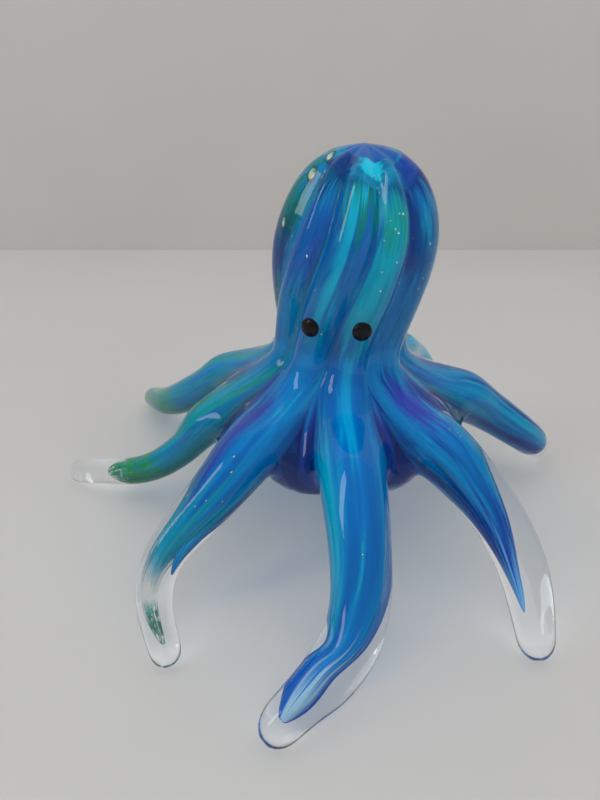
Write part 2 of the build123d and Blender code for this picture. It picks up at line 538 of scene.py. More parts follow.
def placed(spot, axis, size):
    """The transform that stretches a form, turns its Z along an axis and moves it to a spot."""
    turn = axis.to_track_quat("Z", "Y").to_matrix().to_4x4()
    return Matrix.Translation(spot) @ turn @ Matrix.Diagonal((*size, 1))


def flow_layer(bm):
    """The layer that tells the streaks where they are: across, up and along the piece."""
    layers = bm.verts.layers.float_vector
    return layers.get("flow") or layers.new("flow")


def lay_patch(bm, surface, spot, normal, along, wide, long, cover, depth):
    """Lays a thin oval of glass around a spot, under the casing's surface and following it."""
    layer = flow_layer(bm)
    side = along.cross(normal)
    for vertex in bmesh.ops.create_uvsphere(bm, u_segments=32, v_segments=16, radius=1)["verts"]:
        x, y, thick = vertex.co
        share = vertex.co.xy.length
        around = vertex.co.xy / share if share > POLE_NEAR else Vector((0, 0))
        vertex[layer] = (around.x, -around.y, share * PATCH_RINGS)
        above = spot + side * x * wide + along * y * long + normal * RAY_START
        under, facing = surface.ray_cast(above, -normal)[:2]
        vertex.co = under - facing * (cover + depth * (1 - thick) / 2)


def strand_colour(piece_name, strand, profile, material, thin=1.0, cover=COVER):
    """A piece of coloured glass along a strand. Its profile gives, at places along the strand, the share
    of the strand's radius that it fills and how far it lies above and beside the strand's middle."""
    bm = bmesh.new()
    layer = flow_layer(bm)
    first, last = profile[0][0], profile[-1][0]
    rings = STRAND_RINGS[0] + int((last - first) * STRAND_RINGS[1])
    base = ring = None
    for step in range(rings + 1):
        place = first + (last - first) * step / rings
        ring = lift_ring(bm, ring) if ring else new_ring(bm, STRAND_SIDES)
        base = base or ring
        section = between_sections(strand, place)
        fill, above, beside = stop_at(profile, place)
        shift = (section.up * above + section.side * beside) * section.radius
        for turn, vertex in enumerate(ring):
            angle = tau * turn / len(ring)
            vertex.co = section.rim(angle, fill * thin * ARM_PUSH) + shift
            vertex[layer] = (sin(angle), cos(angle), place)
    close_ring(bm, base)
    close_ring(bm, ring)
    surface = casing_surface()
    tuck_under(bm.verts, surface, cover)
    tuck_under([vertex for vertex in bm.verts if vertex[layer].z < TOP_START], surface, cover + COVER)
    return finish_piece(piece_name, bm, material)


def body_colour(piece_name, inset, depth, material):
    """A layer of coloured glass inside the body, with the same ribs as the casing."""
    bm = bmesh.new()
    layer = flow_layer(bm)
    rows = body_rows(bm, depth, inset)
    for vertex in bm.verts:
        vertex[layer] = (0, 0, vertex.co.z / BODY_HIGH.z)
    for row in rows:
        for (heading, _), vertex in zip(column_headings(BODY_HIGH.z), row):
            across = toward(heading)
            vertex[layer] = (across.x, -across.y, vertex.co.z / BODY_HIGH.z)
    surface = casing_surface()
    for part, cover in ((rows[:SKIRT_ROWS], SKIRT_COVER), (rows[SKIRT_ROWS:], HEAD_COVER)):
        tuck_under([vertex for row in part for vertex in row], surface, cover)
    return finish_piece(piece_name, bm, material)


# ---- Materials -----------------------------------------------------------------------------------

def tone(code):
    """A colour from its usual six figures."""
    parts = [int(code[start:start + 2], 16) / 255 for start in (0, 2, 4)]
    return tuple(p / 12.92 if p <= 0.04045 else ((p + 0.055) / 1.055) ** 2.4 for p in parts) + (1.0,)


class Wire:
    """A node's output as a number or vector that Python sums can use."""

    def __init__(self, glaze, socket):
        self.glaze, self.socket = glaze, socket

    def sum(self, operation, first, second):
        """Adds the Math node of a sum."""
        return self.glaze.add("ShaderNodeMath", {"operation": operation}, {0: first, 1: second})

    def __add__(self, other):
        return self.sum("ADD", self, other)

    def __radd__(self, other):
        return self.sum("ADD", other, self)

    def __sub__(self, other):
        return self.sum("SUBTRACT", self, other)

    def __rsub__(self, other):
        return self.sum("SUBTRACT", other, self)

    def __mul__(self, other):
        return self.sum("MULTIPLY", self, other)

    def __rmul__(self, other):
        return self.sum("MULTIPLY", other, self)


class Glaze:
    """A material and the nodes in it."""

    def __init__(self, name):
        self.material = bpy.data.materials.new(name)
        self.material.use_nodes = True
        self.tree = self.material.node_tree
        self.tree.nodes.clear()

    def add(self, kind, settings=None, values=None, output=0):
        """Adds a node, sets its settings and then its sockets' values or links, and gives an output."""
        node = self.tree.nodes.new(kind)
        for name, value in (settings or {}).items():
            if name == "stops":
                ramp = node.color_ramp
                while len(ramp.elements) < len(value):
                    ramp.elements.new(0.5)
                for element, (place, colour) in zip(ramp.elements, value):
                    element.position, element.color = place, colour
            else:
                setattr(node, name, value)
        for name, value in (values or {}).items():
            if isinstance(value, Wire):
                self.tree.links.new(value.socket, node.inputs[name])
            else:
                node.inputs[name].default_value = value
        return Wire(self, node.outputs[output]) if node.outputs else None

    def mix(self, share, first, second):
        """A colour between two others."""
        return self.add(
            "ShaderNodeMix", {"data_type": "RGBA"}, {0: share, 6: first, 7: second}, output=2
        )

    def step(self, value, low, high):
        """0 below low and 1 above high, eased between. The other way round if low is the higher."""
        return self.add(
            "ShaderNodeMapRange",
            {"interpolation_type": "SMOOTHSTEP"},
            {0: value, 1: min(low, high), 2: max(low, high), 3: float(low > high), 4: float(low < high)},
        )

    def ramp(self, value, stops):
        """The colour at a value's place between stops of (place, colour)."""
        return self.add("ShaderNodeValToRGB", {"stops": stops}, {0: value})

    def parts(self, vector):
        """The three numbers of a vector."""
        node = self.add("ShaderNodeSeparateXYZ", None, {0: vector}).socket.node
        return [Wire(self, socket) for socket in node.outputs]

    def joined(self, x, y, z):
        """A vector of three numbers."""
        return self.add("ShaderNodeCombineXYZ", None, {0: x, 1: y, 2: z})

    def noise(self, place, scale, detail=2.0, distortion=0.0, roughness=0.5):
        """A cloudy pattern from 0 to 1."""
        values = {"Scale": scale, "Detail": detail, "Distortion": distortion, "Roughness": roughness}
        return self.add("ShaderNodeTexNoise", None, {"Vector": place, **values})

    def between(self, value, start, end, soft):
        """1 between a start and an end, and 0 outside them, with soft edges."""
        return self.step(value, start - soft, start + soft) * self.step(value, end + soft, end - soft)

    def lit_through(self, shader, tint):
        """The shader, but the lamps' light goes through it and only takes on a tint."""
        lit = self.add("ShaderNodeLightPath", output=1)
        through = self.add("ShaderNodeBsdfTransparent", None, {0: tint})
        return self.add("ShaderNodeMixShader", None, {0: lit, 1: shader, 2: through})

    def show(self, shader):
        """Ends the material with a shader, and gives it."""
        self.add("ShaderNodeOutputMaterial", None, {0: shader})
        return self.material


ALL_ROUND = 180  # half the width of a band that goes all round
BAND_EDGE, FRIT_EDGE = 0.07, 0.03  # how softly a band and the grains start and end along the piece
BAND_SIDES = (1.3, 0.75)  # where a band's sides start and are full, as shares of half its width
OPAQUE_TOP = (-0.70, -0.86)  # from here to here, towards the top of the head, the film turns opaque
WOBBLE, RAGGED, FADE_RAGGED = 0.30, 0.55, 0.22  # how far bands' sides, bands' ends and the fade wander
LAMP_TINT = "E0F0FA"  # what the lamps' light takes on in coloured glass


def streaked_glass(
    name, tones, bands=(), cover=1.0, fade=None, frit=None, stretch=0.8, seed=0.0, streaks=1.9
):
    """Coloured glass with streaks that run along the piece.

    Each band is an angle, half a width, where it starts and ends along the piece, a colour and a strength.
    Cover is how much the streaks hide of what lies under them, where they are thin and where they are
    dense. The fade is where the colour starts to thin and where it is gone, and the frit where grains
    lie."""
    glaze = Glaze(name)
    flow = glaze.add("ShaderNodeAttribute", {"attribute_name": "flow"}, output=1)
    across, up, along = glaze.parts(flow)
    place = glaze.joined(across + seed, up, along * stretch)
    swirl = glaze.noise(place, streaks, detail=3.0, distortion=0.5)
    place = glaze.joined(across, up + seed, along * stretch * 1.8)
    wisp = glaze.noise(place, 3.3, detail=2.0, distortion=0.6)
    value = glaze.step(swirl * 0.72 + wisp * 0.28, 0.36, 0.64)
    colour = glaze.ramp(value, [(stop, tone(code)) for stop, code in tones])
    bend = (wisp - 0.5) * WOBBLE
    density = glaze.step(wisp * 0.6 + swirl * 0.4, 0.62, 0.36)
    fringe = glaze.noise(glaze.joined(across * 2.4, up * 2.4, along * 0.5 + seed), 2.6, detail=2.0)
    edge = along + (fringe - 0.5) * RAGGED
    for angle, width, start, end, code, strength in bands:
        reach = glaze.between(edge, start, end, BAND_EDGE)
        if width < ALL_ROUND:
            facing = across * sin(radians(angle)) + up * cos(radians(angle)) + bend * sin(radians(width))
            reach = reach * glaze.step(facing, *[cos(radians(width * side)) for side in BAND_SIDES])
        colour = glaze.mix(reach * strength, colour, tone(code))
    if frit:
        start, end, code = frit
        grains = glaze.noise(glaze.joined(across, up, along * 12), 3.0, detail=3.0, roughness=0.7)
        speck = glaze.step(grains, 0.47, 0.55) * glaze.between(along, start, end, FRIT_EDGE)
        colour = glaze.mix(speck, colour, tone(code))
    values = {"Base Color": colour, "Roughness": 0.4, "Specular IOR Level": 0.0}
    shader = glaze.add("ShaderNodeBsdfPrincipled", None, values)
    thin, dense = cover if isinstance(cover, tuple) else (cover, cover)
    thick = density * (dense - thin) + thin
    thick = thick + (1 - thick) * glaze.step(along, *OPAQUE_TOP)
    if fade:
        thick = thick * glaze.step(along + (swirl - 0.5) * FADE_RAGGED, fade[1], fade[0])
    if frit:
        thick = thick + (1 - thick) * speck * 0.9
    if fade or frit or thin < 1:
        clear = glaze.add("ShaderNodeBsdfTransparent")
        shader = glaze.add("ShaderNodeMixShader", None, {0: thick, 1: clear, 2: shader})
    return glaze.show(glaze.lit_through(shader, tone(LAMP_TINT)))


def casing_glass(name, tint):
    """Clear, smooth glass that lets the lamps through to the colour inside."""
    glaze = Glaze(name)
    clear = (*tint, 1.0)
    values = {"Base Color": clear, "Roughness": 0.0, "IOR": 1.42, "Transmission Weight": 1.0}
    return glaze.show(glaze.lit_through(glaze.add("ShaderNodeBsdfPrincipled", None, values), clear))


def eye_glass(name):
    """Opaque black glass with fine dark red and gold grains."""
    glaze = Glaze(name)
    place = glaze.add("ShaderNodeTexCoord", output=3)
    grains = glaze.noise(place, 1900.0, detail=3.0, roughness=0.7)
    colour = glaze.mix(glaze.step(grains, 0.56, 0.72), tone("0B0B0E"), tone("4A2A20"))
    bump = glaze.add("ShaderNodeBump", None, {"Strength": 0.35, "Distance": 0.0002, "Height": grains})
    values = {"Base Color": colour, "Roughness": 0.22, "Specular IOR Level": 0.25, "Normal": bump}
    return glaze.show(glaze.add("ShaderNodeBsdfPrincipled", None, values))


def bubble_glass(name):
    """The silvery look of air caught in glass."""
    glaze = Glaze(name)
    place = glaze.add("ShaderNodeTexCoord", output=3)
    shade = glaze.mix(glaze.noise(place, 300.0), tone("DCECF2"), tone("F8FCFF"))
    values = {"Base Color": shade, "Metallic": 0.85, "Roughness": 0.12}
    return glaze.show(glaze.add("ShaderNodeBsdfPrincipled", None, values))


# ---- Where the colours lie -----------------------------------------------------------------------

INDIGO, NAVY, ROYAL, AZURE, SKY = "1C2C96", "04387A", "0060A6", "0082BE", "04A0CA"
CYAN, TEAL, SEA, GREEN, PALE = "00B4CE", "0090A0", "08826C", "1E8A48", "A0C8D4"
LIGHT_BLUES = [(0.0, ROYAL), (0.35, AZURE), (0.7, SKY), (1.0, CYAN)]
TEALS = [(0.0, ROYAL), (0.3, AZURE), (0.6, TEAL), (1.0, SEA)]

# Each strand runs from the top of the head (-1) over the neck (0) to its toe (1). Its profile gives, at
# places along it, the share of its radius that the colour fills and how far the colour lies above and
# beside its middle. Its glass has streaks of tones and bands of other colours.
HEAD = [(-1.02, 0.6, 0, 0), (-0.92, 1.0, 0, 0), (0.04, 1.0, 0, 0)]
WHOLE = HEAD + [(0.34, 0.84, 0, 0), (0.72, 0.80, 0, 0), (0.84, 0.62, 0, 0), (0.92, 0.30, 0, 0)]
STRANDS = {
    "front": dict(
        profile=HEAD + [
            (0.36, 0.86, 0, 0), (0.50, 0.86, 0, -0.04), (0.64, 0.80, 0, -0.14), (0.71, 0.62, 0, -0.14),
            (0.765, 0.36, 0, 0), (0.81, 0.37, 0, -0.30), (0.86, 0.50, 0, -0.30), (0.905, 0.50, 0, -0.2),
            (0.935, 0.38, 0, -0.1), (0.95, 0.18, 0, -0.05),
        ],
        glass=dict(
            tones=[(0.0, ROYAL), (0.45, "006EB8"), (0.8, AZURE), (1.0, SKY)], seed=1.0,
            bands=[
                (0, ALL_ROUND, -1.2, -0.90, "1084B0", 0.8), (-35, 24, -0.92, -0.74, "38B4CC", 0.8),
                (20, 42, -0.86, -0.62, "14A89C", 0.9), (-6, 34, -0.66, -0.20, "08B4CC", 0.9),
                (55, 20, -0.60, -0.05, "0A88C0", 0.7), (84, 9, -0.80, 0.0, "70BCD8", 0.6),
                (0, 15, -0.06, 0.38, "089CCC", 0.85), (-45, 14, -0.10, 0.30, ROYAL, 0.9),
                (-75, 26, 0.34, 0.80, CYAN, 0.75), (78, 24, 0.30, 0.98, ROYAL, 0.8),
                (14, 9, 0.50, 0.86, SKY, 0.6), (0, ALL_ROUND, 0.79, 1.0, "0C50B0", 0.85),
                (40, 40, 0.83, 1.4, PALE, 0.9),
            ],
        ),
    ),
    "front_right": dict(
        profile=HEAD + [
            (0.34, 0.86, 0, 0), (0.44, 0.84, 0, -0.03), (0.52, 0.70, 0, -0.16), (0.62, 0.54, 0, -0.30),
            (0.70, 0.40, 0, -0.40), (0.78, 0.24, 0, -0.40), (0.86, 0.12, 0, -0.30), (0.89, 0.04, 0, -0.28),
        ],
        glass=dict(
            tones=[(0.0, NAVY), (0.35, ROYAL), (0.75, AZURE), (1.0, SKY)], seed=4.0,
            bands=[
                (0, ALL_ROUND, -1.2, -0.88, "10307C", 0.85), (-50, 26, -0.80, -0.50, "0A3C88", 0.9),
                (-66, 12, -0.84, -0.20, "68B4D0", 0.7), (0, 36, -0.70, -0.50, "0A5094", 0.8),
                (30, 22, -0.86, -0.30, "3C9CC0", 0.6), (-20, 40, -0.46, 0.0, "0A7CBC", 0.85),
                (20, 60, 0.10, 0.34, "3430A4", 0.8), (-50, 18, 0.0, 0.34, AZURE, 0.7),
                (85, 26, 0.36, 0.80, NAVY, 0.85), (-60, 22, 0.42, 0.66, AZURE, 0.6),
                (0, ALL_ROUND, 0.62, 0.74, INDIGO, 0.9), (0, ALL_ROUND, 0.76, 0.95, "6CA8D8", 0.9),
                (24, 14, 0.27, 0.36, "18B0E0", 0.95),
            ],
        ),
    ),
    "right": dict(
        profile=HEAD + [(0.34, 0.84, 0, 0), (0.68, 0.78, 0, 0), (0.78, 0.60, 0, 0), (0.84, 0.25, 0, 0)],
        glass=dict(
            tones=[(0.0, NAVY), (0.35, ROYAL), (0.7, AZURE), (1.0, "0896BC")], seed=7.0,
            bands=[
                (20, 30, -0.9, -0.3, CYAN, 0.7), (-40, 14, -0.9, 0.1, ROYAL, 0.8),
                (-30, 12, 0.35, 0.85, CYAN, 0.6), (-75, 14, 0.40, 0.80, ROYAL, 0.85),
                (-120, 20, 0.60, 0.88, INDIGO, 0.8), (40, 14, 0.30, 0.60, INDIGO, 0.5),
            ],
        ),
    ),
    "back_right": dict(
        profile=WHOLE,
        glass=dict(
            tones=[(0.0, AZURE), (0.4, SKY), (0.8, CYAN), (1.0, TEAL)], seed=9.0,
            bands=[
                (0, ALL_ROUND, -1.2, -0.93, ROYAL, 0.9), (-10, 24, -0.9, -0.2, INDIGO, 0.6),
                (45, 12, -0.9, 0.5, SKY, 0.8),
            ],
        ),
    ),
    "back": dict(
        profile=WHOLE,
        glass=dict(
            tones=TEALS, seed=12.0, fade=(0.80, 0.92),
            bands=[(-30, 20, -0.9, 0.0, TEAL, 0.7), (30, 14, -0.9, 0.2, ROYAL, 0.8)],
        ),
    ),
    "back_left": dict(
        profile=HEAD + [(0.34, 0.84, 0, 0), (0.80, 0.80, 0, 0), (0.93, 0.6, 0, 0), (0.97, 0.2, 0, 0)],
        glass=dict(
            tones=[(0.0, "0060A0"), (0.3, AZURE), (0.6, TEAL), (1.0, SEA)], seed=15.0,
            bands=[
                (0, ALL_ROUND, -1.2, -0.88, "0C88C0", 0.8), (-8, 34, -0.80, -0.42, "0A3484", 0.9),
                (-10, 44, -0.88, -0.66, "0C7468", 0.85), (56, 26, -0.80, 0.05, "0C80C0", 0.85),
                (0, ALL_ROUND, 0.58, 0.80, TEAL, 0.7), (0, ALL_ROUND, 0.82, 1.1, SEA, 0.8),
            ],
            frit=(0.62, 1.1, GREEN),
        ),
    ),
    "left": dict(
        profile=HEAD + [(0.34, 0.84, 0, 0), (0.66, 0.80, 0, 0), (0.76, 0.6, 0, 0), (0.82, 0.2, 0, 0)],
        glass=dict(
            tones=[(0.0, "0068A4"), (0.4, "007CA8"), (0.7, TEAL), (1.0, SEA)], seed=18.0, fade=(0.66, 0.82),
            bands=[
                (0, ALL_ROUND, -1.2, -0.92, "0C2470", 0.9), (5, 44, -0.86, -0.42, "0C58B0", 0.85),
                (15, 14, -0.70, -0.45, INDIGO, 0.7), (0, ALL_ROUND, -0.42, 0.02, "0880BC", 0.6),
                (-68, 16, -0.92, 0.1, "1C98D4", 0.8), (74, 14, -0.92, 0.0, "1C94CC", 0.85),
                (-20, 12, 0.30, 0.70, SEA, 0.7), (0, ALL_ROUND, 0.62, 0.9, SEA, 0.7),
            ],
            frit=(0.60, 0.84, GREEN),
        ),
    ),
    "front_left": dict(
        profile=HEAD + [
            (0.34, 0.86, 0, 0), (0.50, 0.84, 0, 0), (0.58, 0.70, 0, 0.12), (0.66, 0.56, 0, 0.10),
            (0.73, 0.44, 0, -0.10), (0.80, 0.34, 0, -0.25), (0.92, 0.24, 0, -0.1), (0.95, 0.1, 0, 0),
        ],
        glass=dict(
            tones=[(0.0, ROYAL), (0.4, "0076B8"), (0.75, AZURE), (1.0, CYAN)], seed=21.0, fade=(0.66, 0.82),
            bands=[
                (0, ALL_ROUND, -1.2, -0.93, "1084B0", 0.9), (20, 24, -0.95, -0.86, "14C4DC", 0.9),
                (15, 46, -0.88, -0.72, SEA, 0.8), (-52, 16, -0.90, -0.50, "1450B0", 0.8),
                (-12, 15, -0.80, -0.25, "08B8D8", 0.95), (30, 16, -0.72, 0.10, "0A70C0", 0.8),
                (74, 12, -0.85, 0.10, "5CACD4", 0.7), (-60, 14, -0.60, 0.0, "2CA0D0", 0.8),
                (-26, 22, 0.14, 0.62, "2A2890", 0.85), (8, 8, 0.14, 0.60, SKY, 0.7),
                (-60, 12, 0.40, 0.64, SEA, 0.7), (0, ALL_ROUND, 0.58, 0.8, TEAL, 0.75),
                (150, 40, 0.2, 0.60, NAVY, 0.9), (0, ALL_ROUND, 0.80, 1.1, "4C9C84", 0.8),
            ],
            frit=(0.86, 0.97, "2C6C54"),
        ),
    ),
}
SPLINTER = dict(  # the pointed streak beside the front left arm's colour
    profile=[
        (0.40, 0.20, -0.1, 0.45), (0.55, 0.34, -0.2, 0.40), (0.68, 0.26, -0.2, 0.46),
        (0.77, 0.05, -0.2, 0.5),
    ],
    glass=dict(
        tones=[(0.0, NAVY), (0.5, ROYAL), (1.0, AZURE)], seed=24.0, bands=[(40, 25, 0.4, 0.7, SKY, 0.8)]
    ),
)

FILM_COVER = (0.55, 0.94)  # how much of its heart a strand's film hides

TOP_PATCH = 15 * MM  # half the width of the patch under the top of the head
TOP_PATCH_SHIFT = Vector((2.0, -3.5, 0)) * MM
TOP_COVER, TOP_DEPTH = 0.4 * MM, 1.6 * MM  # clear glass over the patch, and its thickness
PATCH_RINGS = 4  # place of a patch's rim for its bands and its streaks; its middle is at 0
TOP_START = -0.80  # place along the strands above which they lie under the top patch
TOP_GLASS = dict(
    tones=[(0.0, "086C98"), (0.5, "0C84AC"), (1.0, "1C98BC")], seed=30.0, fade=(3.1, 4.0),
    bands=[
        (-58, 22, 1.9, 5, "0C2470", 0.9), (66, 24, 2.2, 5, INDIGO, 0.8), (-6, 15, 1.9, 3.2, "14C4DC", 0.9),
        (0, ALL_ROUND, -1, 2.0, "0058A4", 0.95),
    ],
)
# The pale spots' fill is painted light in clear windows of the colour; their dark green rim is the glass's
# own colour
# Pale spots on the head: heading in degrees, then height and half the width and length in mm
PALE_SPOTS = [
    (-67, 122.1, 1.3, 2.9), (-66, 117.7, 1.8, 3.0), (-72, 104.3, 1.2, 2.4), (-54, 117.0, 0.6, 1.6),
]
SPOT_COVER, SPOT_DEPTH = 0.35 * MM, 0.5 * MM
# The spots' look: pale tones of painted light, edged with the dark green of the glass around them
SPOT_RIM_AND_PAINTED_LIGHT = dict(
    tones=[(0.0, "94A898"), (0.5, "C0C8B8"), (1.0, "D4DACC")], seed=33.0, fade=(2.8, 4.1),
    bands=[(150, 48, 0.7, 5, "5C9488", 0.8), (0, ALL_ROUND, 2.3, 5, "0C4A48", 0.9)],
)
# Below this share of the height, where the underside and the webs between the arms are, the body's colour
# is darker
BODY_BANDS = [(0, ALL_ROUND, -1, 0.46, "182C8C", 0.9)]

# Bubbles: in the head by heading and share of the height, in the arms by shares of the length from where
# to where, and how many
HEAD_BUBBLES = [
    (22, 0.80, 14), (62, 0.70, 16), (-64, 0.84, 8), (-36, 0.70, 5), (14, 0.9, 6), (140, 0.8, 12),
    (220, 0.7, 12),
]
ARM_BUBBLES = {
    "front_left": (0.40, 0.66, 14), "back_left": (0.70, 0.95, 14), "left": (0.62, 0.82, 12),
    "front_right": (0.36, 0.46, 8), "right": (0.35, 0.85, 6), "front": (0.5, 0.8, 3),
    "back": (0.5, 0.9, 8), "back_right": (0.4, 0.9, 8),
}
BUBBLE_SPREAD = (0.06, 7)  # how far they scatter in the head: share of the height, and degrees
BUBBLE_DEPTH = 1.9 * MM  # how deep they lie under the head's ribs
BUBBLE_TURN, BUBBLE_SHARES = 2.2, (0.86, 0.93)  # in the arms: how far from the top, shares of the radius
BUBBLE_SIZES, BUBBLE_STRETCH = (0.10, 0.30), (1.0, 2.2)  # radius in mm, and times longer than wide


# ---- Where the stage's things stand --------------------------------------------------------------

ROOM_WIDTH, WALL_HEIGHT = 4.0, 1.2
LAMPS = {  # place from the figure's middle, width, height, power, colour, and whether surfaces mirror it
    "window": ((-0.75, -0.30, 0.70), 0.2, 0.8, 2.2, "F4F8FF", True),
    "ceiling": ((0.05, -0.10, 1.3), 2.0, 1.6, 13.5, "FFFFFF", False),
    "fill": ((0.9, -0.6, 0.7), 0.9, 0.9, 2.6, "FFFFFF", False),
}
LAMP_TARGET = HUB + UP * 0.05  # the lamps point at the figure's neck
ROOM_LIGHT, ROOM_STRENGTH = "D8DCE0", 0.42
CAMERA_PLACE = HUB + Vector((-12.2, -183.75, 147.0)) * MM
CAMERA_TILT = 60  # degrees up from looking straight down
CAMERA_SENSOR, CAMERA_LENS = 36.0, 27.045


# ---- Settings ------------------------------------------------------------------------------------

class GlassSettings(bpy.types.PropertyGroup):
    """Sizes and tint of the clear glass"""

    rib_depth: FloatProperty(
        name="Rib depth", description="How deep the ribs of the head are", default=1.5 * MM, unit="LENGTH"
    )
    casing: FloatProperty(
        name="Body casing",
        description="Clear glass over the colour in the body",
        default=2.6 * MM,
        unit="LENGTH",
    )
    tint: FloatVectorProperty(
        name="Clear glass",
        description="Tint of the clear glass",
        default=(0.985, 0.995, 1.0),
        subtype="COLOR",
    )


class EyeSettings(bpy.types.PropertyGroup):
    """Sizes of the eyes"""

    bulge: FloatProperty(
        name="Bulge", description="How far an eye stands out of the head", default=1.5 * MM, unit="LENGTH"
    )


class StageSettings(bpy.types.PropertyGroup):
    """Colours and size of the room"""

    table: FloatVectorProperty(
        name="Table", description="Colour of the table", default=tone("C6C4C1")[:3], subtype="COLOR"
    )
    wall: FloatVectorProperty(
        name="Wall", description="Colour of the wall behind", default=tone("D0CBC6")[:3], subtype="COLOR"
    )
    wall_distance: FloatProperty(
        name="Wall distance",
        description="From the figure's middle to the wall",
        default=0.329,
        unit="LENGTH",
    )


# ---- Operators -----------------------------------------------------------------------------------

class OCTOPUS_OT_casing(bpy.types.Operator):
    """Makes the clear glass of the body and the arms in one"""

    bl_idname = "octopus.casing"
    bl_label = "Clear casing"

    def execute(self, context):
        settings = context.scene.octopus_glass
        material = casing_glass("Clear glass", settings.tint)
        piece = finish_piece("clear_casing", clear_casing(settings.rib_depth), material)
        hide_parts("mantle_casing", *[f"arm_{name}_casing" for name in ARMS])
        return {"FINISHED"}


class OCTOPUS_OT_body(bpy.types.Operator):
    """Makes the coloured glass in the middle of the body"""

    bl_idname = "octopus.body"
    bl_label = "Body colour"

    def execute(self, context):
        settings = context.scene.octopus_glass
        material = streaked_glass(
            "Body streaks", LIGHT_BLUES, BODY_BANDS, stretch=1.1, streaks=2.6, seed=3.0
        )
        piece = body_colour("colour_body", settings.casing + BODY_DEPTH, settings.rib_depth, material)
        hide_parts("mantle_core")
        return {"FINISHED"}


class OCTOPUS_OT_patches(bpy.types.Operator):
    """Makes the deep blue patch under the top of the head and the pale spots beside it, whose pale fill is
    painted light in clear windows of the colour
    """

    bl_idname = "octopus.patches"
    bl_label = "Patches"

    def execute(self, context):
        surface = casing_surface()
        bm = bmesh.new()
        middle, back = HEAD_SECTIONS[-1][0] + TOP_PATCH_SHIFT, Vector((0, 1, 0))
        lay_patch(bm, surface, middle, UP, back, TOP_PATCH, TOP_PATCH, TOP_COVER, TOP_DEPTH)
        piece = finish_piece("top_patch", bm, streaked_glass("Top streaks", **TOP_GLASS), levels=1)
        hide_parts("mantle_core")
        bm = bmesh.new()
        for heading, height, wide, long in PALE_SPOTS:
            axis, _ = head_section(height * MM)
            out = toward(heading)
            spot, normal = surface.ray_cast(axis + out * BODY_REACH, -out)[:2]
            along = (UP - normal * normal.z).normalized()
            lay_patch(bm, surface, spot, normal, along, wide * MM, long * MM, SPOT_COVER, SPOT_DEPTH)
        # The spots' pale fill is painted light, their dark rim the glass's colour
        piece = finish_piece("pale_spots", bm, streaked_glass("Spot rim and painted light", **SPOT_RIM_AND_PAINTED_LIGHT), levels=1)
        return {"FINISHED"}


class OCTOPUS_OT_strands(bpy.types.Operator):
    """Makes the coloured glass that runs down each rib and out along its arm"""

    bl_idname = "octopus.strands"
    bl_label = "Strands of colour"

    def execute(self, context):
        self.casing = context.scene.octopus_glass.casing
        for name, look in STRANDS.items():
            profile, glass = look["profile"], look["glass"]
            film = streaked_glass(f"Streaks {name}", cover=FILM_COVER, **glass)
            heart = streaked_glass(f"Heart {name}", **{**glass, "tones": LIGHT_BLUES})
            end, *shape = profile[-1]
            inner = [*profile[:-1], (end - HEART_SHORT, *shape)]
            self.lay(name, f"colour_{name}", profile, film)
            self.lay(name, f"heart_{name}", inner, heart, HEART_SHARE, HEART_COVER)
        splinter = streaked_glass("Streaks splinter", **SPLINTER["glass"])
        self.lay("front_left", "splinter_front_left", SPLINTER["profile"], splinter)
        return {"FINISHED"}

    def lay(self, arm, piece_name, profile, material, thin=1.0, cover=COVER):
        """One piece of colour along an arm's strand."""
        piece = strand_colour(piece_name, strand_of(arm, self.casing), profile, material, thin, cover)
        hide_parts(f"arm_{arm}_core")


class OCTOPUS_OT_bubbles(bpy.types.Operator):
    """Makes the bubbles caught between the casing and the colour"""

    bl_idname = "octopus.bubbles"
    bl_label = "Bubbles"

    def execute(self, context):
        chance = Random(8)
        bm = bmesh.new()
        spread_up, spread_round = BUBBLE_SPREAD
        for heading, share, count in HEAD_BUBBLES:
            for _ in range(count):
                height = BODY_HIGH.z * (share + chance.gauss(0, spread_up))
                centre, radius = head_section(min(max(height, HEAD_ROWS[0]), HEAD_ROWS[-3]))
                out = toward(heading + chance.gauss(0, spread_round))
                self.blow(bm, chance, centre + out * (radius - BUBBLE_DEPTH), UP)
        for name, (start, end, count) in ARM_BUBBLES.items():
            strand = strand_of(name, context.scene.octopus_glass.casing)
            for _ in range(count):
                section = between_sections(strand, chance.uniform(start, end))
                angle = chance.uniform(-BUBBLE_TURN, BUBBLE_TURN)
                spot = section.rim(angle, chance.uniform(*BUBBLE_SHARES))
                self.blow(bm, chance, spot, section.along)
        piece = finish_piece("bubbles", bm, bubble_glass("Bubbles"), levels=0)
        return {"FINISHED"}

    def blow(self, bm, chance, spot, along):
        """One bubble, drawn out along the glass."""
        size = chance.uniform(*BUBBLE_SIZES) * MM
        stretch = chance.uniform(*BUBBLE_STRETCH)
        bmesh.ops.create_icosphere(
            bm, subdivisions=2, radius=size, matrix=placed(spot, along, (1, 1, stretch))
        )


class OCTOPUS_OT_eyes(bpy.types.Operator):
    """Makes the two black glass dots pressed into the head"""

    bl_idname = "octopus.eyes"
    bl_label = "Eyes"

    def execute(self, context):
        settings = context.scene.octopus_eyes
        material = eye_glass("Black glass")
        surface = casing_surface()
        for name in ("eye_left", "eye_right"):
            low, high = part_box(name)
            middle = (low + high) / 2
            axis = min(HEAD_SECTIONS, key=lambda section: abs(section[0].z - middle.z))[0]
            out = ((middle - axis) * LEVEL).normalized()
            spot = surface.ray_cast(middle + out * RAY_START, -out)[0]
            radius = (high.z - low.z) / 2
            bm = bmesh.new()
            bmesh.ops.create_uvsphere(
                bm,
                u_segments=24,
                v_segments=16,
                radius=1,
                matrix=placed(spot, out, (radius, radius, settings.bulge)),
            )
            piece = finish_piece(f"dot_{name}", bm, material, levels=1)
            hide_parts(name)
        return {"FINISHED"}


class OCTOPUS_OT_stage(bpy.types.Operator):
    """Makes the table, the wall, the lamps and the camera"""

    bl_idname = "octopus.stage"
    bl_label = "Stage"

    def execute(self, context):
        make_room(context.scene.octopus_stage)
        make_lamps()
        make_camera()
        return {"FINISHED"}


